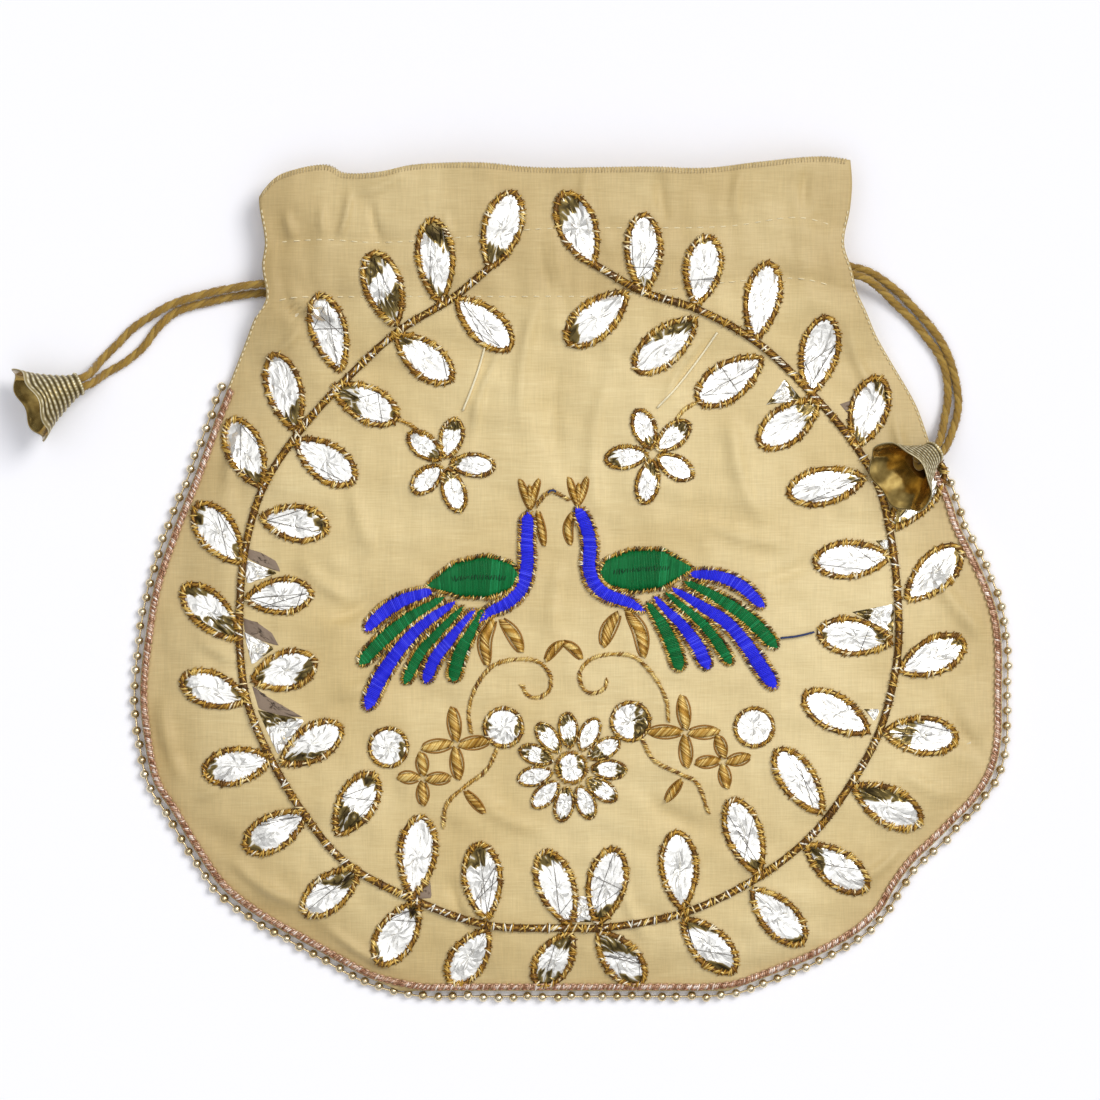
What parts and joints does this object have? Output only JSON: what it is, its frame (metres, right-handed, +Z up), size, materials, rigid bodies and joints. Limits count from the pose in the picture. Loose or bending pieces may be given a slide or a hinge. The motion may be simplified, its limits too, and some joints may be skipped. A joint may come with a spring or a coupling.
{
  "type": "potli bag",
  "caption": "Lined drawstring pouch of beige silk cloth with a frilled mouth, cords ending in bells, bead edging, and an embroidered foil leaf wreath round facing peacocks.",
  "frame": {"origin": "middle of the bag's footprint on the surface it lies on, the free cords and bells left out", "axes": "+Z up out of the embroidered face, +Y towards the mouth, +X towards the right side seam"},
  "size_m": [0.2611, 0.2204, 0.0243],
  "materials": {
    "silk": "slubbed beige-gold silk weave",
    "lining": "plain pale cotton lining",
    "braid": "rose-gold metallic gimp braid",
    "bead": "polished pale gold metal beads",
    "cord": "soft olive-gold twisted cord",
    "bell": "ribbed gold metal cloth, glossy inside",
    "gold_thread": "antique gold metallic thread round crinkled foil",
    "satin_thread": "blue and green satin stitch",
    "foil": "crinkled pale gold foil with a gold thread border"
  },
  "bodies": {
    "root": {"back_panel": "silk", "front_panel": "silk", "back_lining": "lining", "front_lining": "lining", "edge_braid": "braid", "bead_edging": "bead", "left_drawcord": "cord", "right_drawcord": "cord", "left_bell": "bell", "right_bell": "bell", "left_bell_knot": "cord", "right_bell_knot": "cord", "leaf_wreath": "gold_thread", "left_peacock": "satin_thread", "right_peacock": "satin_thread", "left_blossom": "foil", "right_blossom": "foil", "centre_daisy": "foil", "left_outer_mirror": "foil", "left_inner_mirror": "foil", "right_inner_mirror": "foil", "right_outer_mirror": "foil"}
  },
  "joints": []
}
